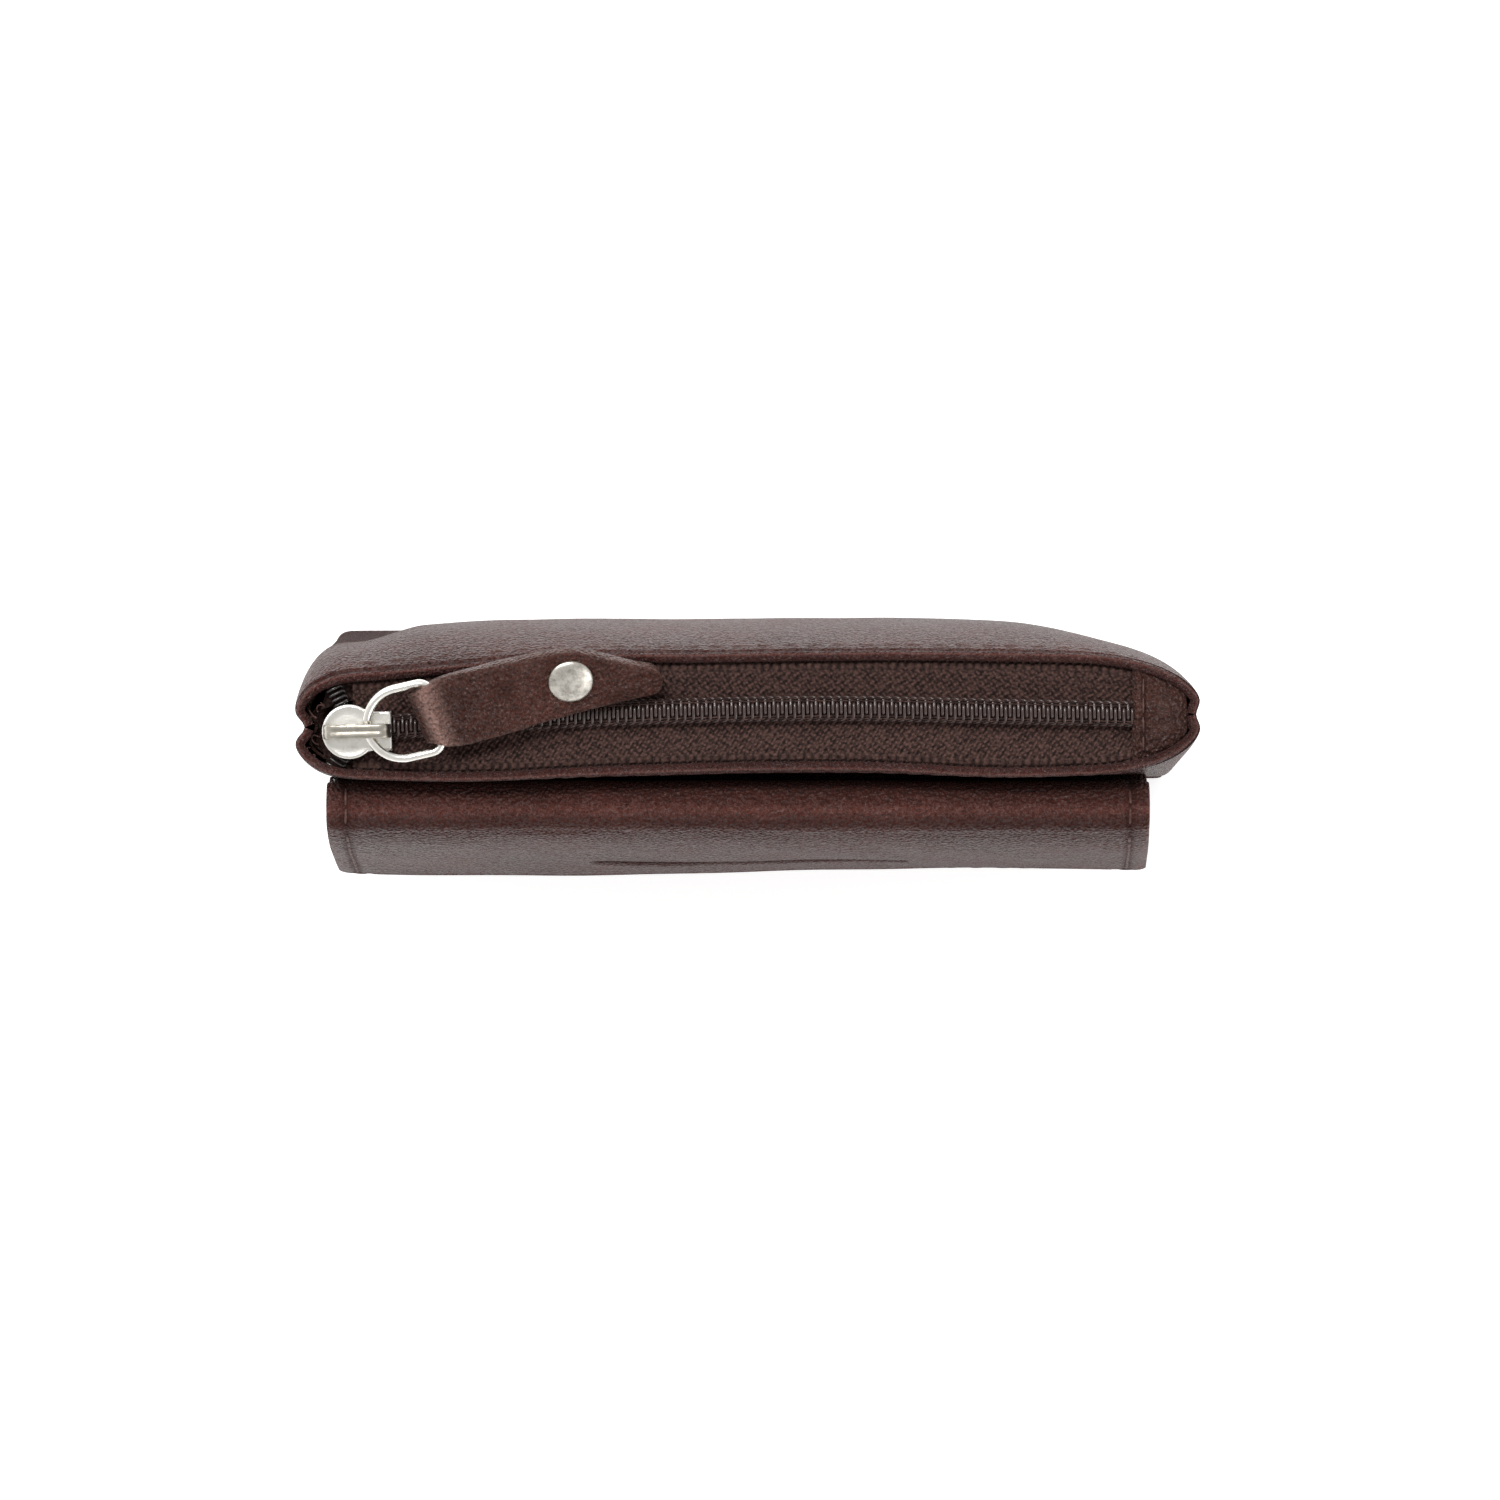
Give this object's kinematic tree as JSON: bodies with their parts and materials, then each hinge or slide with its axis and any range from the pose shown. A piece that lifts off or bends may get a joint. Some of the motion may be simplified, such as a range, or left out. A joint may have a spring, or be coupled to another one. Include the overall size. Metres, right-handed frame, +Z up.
{
  "type": "zippered pouch",
  "caption": "Compact leather zip pouch with a coil zip, a leather pull on a ring, and a flap wallet on its front.",
  "frame": {"origin": "on the surface that the pouch stands on, under the middle of its bounding box", "axes": "+X along the zip, the way the slider opens; +Y from the flap towards the back of the zip pocket; +Z up"},
  "size_m": [0.1234, 0.0364, 0.098],
  "materials": {
    "body_leather": "dark reddish brown full-grain leather, semi-matte",
    "pull_leather": "dark brown waxed leather, semi-gloss",
    "lining": "thin dark brown pigskin lining, matte",
    "zip_tape": "woven dark brown polyester tape",
    "zip_coil": "dark brown nylon coil, glossy",
    "thread": "dark brown waxed thread",
    "nickel": "polished nickel plate, slightly aged",
    "rivet_metal": "antique nickel, mottled",
    "magnet": "nickel-plated magnet, satin"
  },
  "bodies": {
    "pouch": {"pocket_base": "body_leather", "pocket_back_panel": "body_leather", "pocket_front_panel": "body_leather", "zip_end_tab": "body_leather", "wallet_base": "body_leather", "wallet_back_panel": "body_leather", "bill_gusset_left": "body_leather", "bill_gusset_right": "body_leather", "card_base_panel": "body_leather", "card_slot_upper": "body_leather", "card_slot_middle": "body_leather", "card_slot_lower": "body_leather", "wallet_front_panel": "body_leather", "pocket_back_lining": "lining", "pocket_front_lining": "lining", "wallet_back_lining": "lining", "zip_end_tab_stitching": "thread", "back_lip_stitching": "thread", "front_lip_stitching": "thread", "wallet_stitching": "thread", "zip_tape_back": "zip_tape", "zip_tape_front": "zip_tape", "zip_coil_back": "zip_coil", "zip_coil_front": "zip_coil", "wallet_magnet": "magnet"},
    "slider": {"slider_body": "nickel", "slider_bridge": "nickel"},
    "ring": {"d_ring": "nickel"},
    "pull": {"pull_strap": "pull_leather", "pull_rivet": "rivet_metal", "pull_rivet_back": "rivet_metal"},
    "flap_fold": {"flap_fold_leather": "body_leather", "flap_fold_lining": "lining"},
    "flap": {"flap_leather": "body_leather", "flap_lining": "lining", "flap_magnet": "magnet", "flap_stitching": "thread"}
  },
  "joints": [
    {"name": "zip_slide", "type": "slide", "parent": "pouch", "child": "slider", "axis": [0.9998, 0.0222, 0], "range_m": [0, 0.101], "deforming": ["zip_coil_back", "zip_coil_front"]},
    {"name": "ring_hinge", "type": "hinge", "parent": "slider", "child": "ring", "pos_m": [-0.0523, 0.00256, 0.0954], "axis": [0.225, -0.9744, 0], "range_deg": [0, 100]},
    {"name": "pull_hinge", "type": "hinge", "parent": "ring", "child": "pull", "pos_m": [-0.04285, 0.00474, 0.0954], "axis": [0.22, -0.9531, -0.2079], "range_deg": [0, 45]},
    {"name": "fold_hinge", "type": "hinge", "parent": "pouch", "child": "flap_fold", "pos_m": [-0.00165, -0.00574, 0.08744], "axis": [-1, 0, 0], "range_deg": [0, 80]},
    {"name": "flap_hinge", "type": "hinge", "parent": "flap_fold", "child": "flap", "pos_m": [-0.00165, -0.00964, 0.08776], "axis": [-1, 0, 0], "range_deg": [0, 80]}
  ],
  "couplings": [
    {"joint": "flap_hinge", "follows": "fold_hinge", "ratio": 1}
  ]
}
